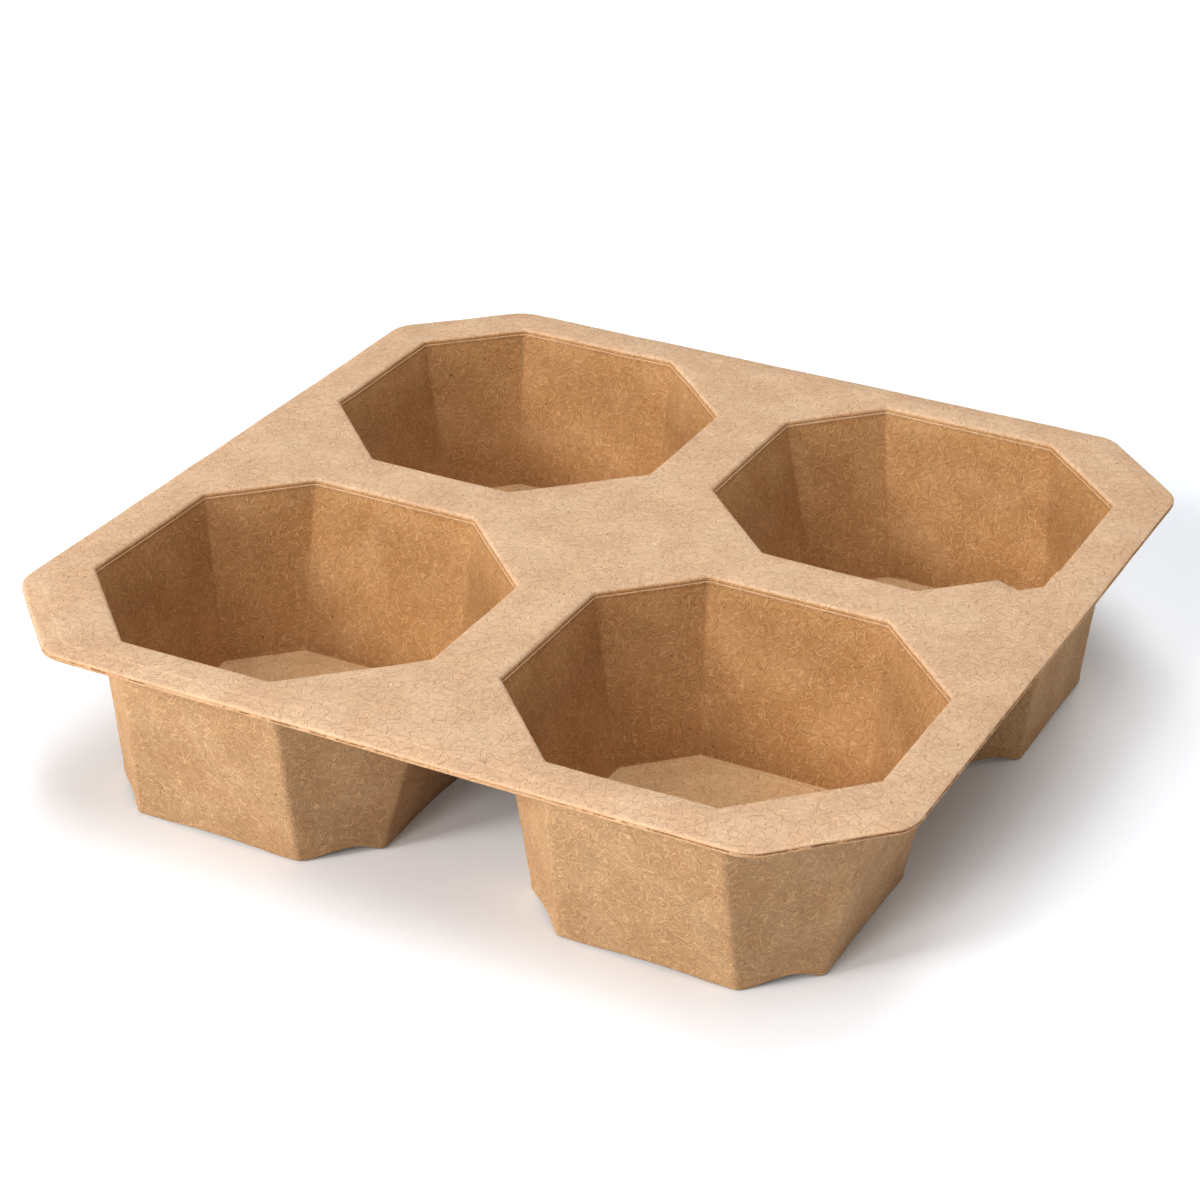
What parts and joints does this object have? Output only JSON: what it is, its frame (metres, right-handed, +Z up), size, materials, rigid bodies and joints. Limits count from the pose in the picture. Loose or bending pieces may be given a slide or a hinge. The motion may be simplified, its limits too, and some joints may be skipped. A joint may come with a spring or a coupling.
{
  "type": "cup carrier tray",
  "caption": "Square moulded pulp tray with cut corners, a flat deck and tapered octagonal pockets that hold drink cups upright.",
  "frame": {"origin": "middle of the tray, on the plane of its feet", "axes": "+Z up, +X to the right along the front side, +Y from the front side to the back"},
  "size_m": [0.215, 0.215, 0.049],
  "materials": {
    "pulp": "matte unbleached kraft paper pulp"
  },
  "bodies": {
    "root": {"carrier": "pulp"}
  },
  "joints": []
}
